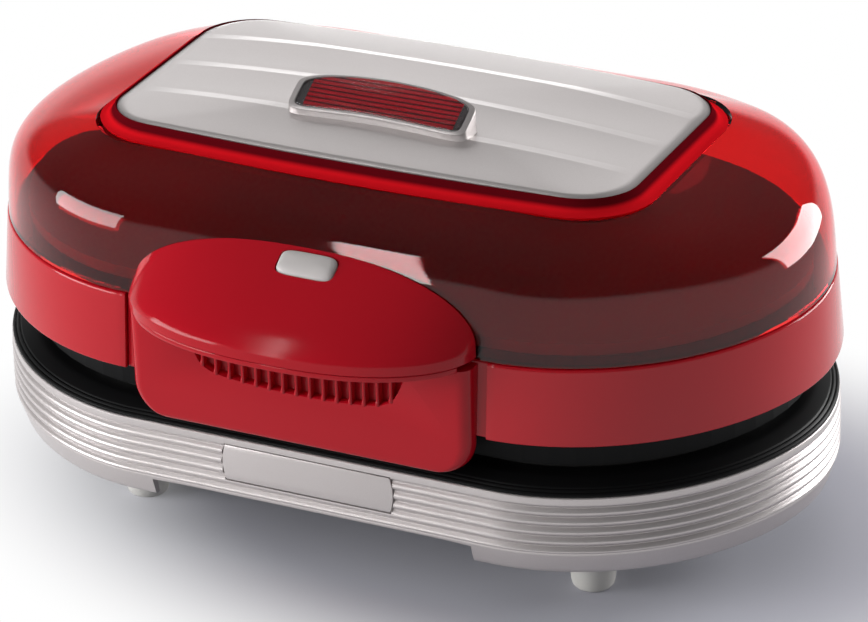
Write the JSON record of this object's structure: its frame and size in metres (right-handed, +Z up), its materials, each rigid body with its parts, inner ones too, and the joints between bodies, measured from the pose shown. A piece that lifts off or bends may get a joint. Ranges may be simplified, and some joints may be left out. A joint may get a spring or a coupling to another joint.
{
  "type": "hamburger maker",
  "caption": "Electric contact grill with a stadium plan: ribbed silver base, hinged lid under a clear red dome, visor handle and round burger cups.",
  "frame": {"origin": "centre of the bounding box on the table plane, under the feet", "axes": "+X to the right as seen from the front, along the body's length; -Y towards the front and the handle; +Z up"},
  "size_m": [0.3018, 0.217, 0.158],
  "materials": {
    "silver_paint": "satin silver metallic paint on moulded plastic",
    "black_plastic": "fine satin black moulded plastic",
    "red_gloss": "high gloss red moulded plastic",
    "red_clear": "polished transparent red moulded plastic",
    "clear_lens": "polished clear moulded plastic",
    "red_print": "printed plate with fine stripes",
    "pale_grey_plastic": "satin pale grey moulded plastic",
    "cast_aluminium": "dark non-stick coating on cast aluminium",
    "sheet_steel": "bright rolled sheet",
    "bright_steel": "zinc plated",
    "foot_rubber": "matt grey elastomer",
    "ceramic": "matt off-white"
  },
  "bodies": {
    "base": {"base_shell": "silver_paint", "front_badge_plate": "silver_paint", "foot_front_left": "foot_rubber", "foot_front_right": "foot_rubber", "foot_rear_left": "foot_rubber", "foot_rear_right": "foot_rubber", "bottom_cover": "black_plastic", "bottom_screw_front_left": "bright_steel", "bottom_screw_front_right": "bright_steel", "bottom_screw_rear_left": "bright_steel", "bottom_screw_rear_right": "bright_steel", "base_rim": "black_plastic", "lower_plate": "cast_aluminium", "lower_heater": "bright_steel", "lower_reflector": "sheet_steel", "thermostat": "ceramic", "thermal_fuse": "bright_steel", "terminal_block": "ceramic", "cord_gland": "black_plastic", "latch_keeper": "bright_steel", "hinge_block_left": "black_plastic", "hinge_block_right": "black_plastic", "hinge_pin_left": "bright_steel", "hinge_pin_right": "bright_steel"},
    "lid": {"lid_frame": "black_plastic", "upper_plate": "cast_aluminium", "upper_heater": "bright_steel", "inner_cover": "black_plastic", "lid_band": "red_gloss", "handle_bracket": "red_gloss", "dome": "red_clear", "top_plate": "silver_paint", "badge_print": "red_print", "badge_lens": "clear_lens", "handle_body": "red_gloss", "grip_panel": "red_gloss", "handle_cap": "red_gloss", "handle_screw_left": "bright_steel", "handle_screw_right": "bright_steel", "hinge_arm_left": "black_plastic", "hinge_arm_right": "black_plastic", "button_spring": "bright_steel"},
    "button": {"release_button": "pale_grey_plastic"},
    "latch": {"latch_slider": "bright_steel"}
  },
  "joints": [
    {"name": "lid_hinge", "type": "hinge", "parent": "base", "child": "lid", "pos_m": [0, 0.1025, 0.057], "axis": [-1, 0, 0], "range_deg": [0, 100]},
    {"name": "button_press", "type": "slide", "parent": "lid", "child": "button", "axis": [0, 0, -1], "range_m": [0, 0.0022], "stiffness_N_per_m": 600, "springref_m": -0.002, "deforming": ["button_spring"]},
    {"name": "latch_slide", "type": "slide", "parent": "lid", "child": "latch", "axis": [0, 1, 0], "range_m": [0, 0.0022]}
  ],
  "couplings": [
    {"joint": "latch_slide", "follows": "button_press", "ratio": 1}
  ]
}
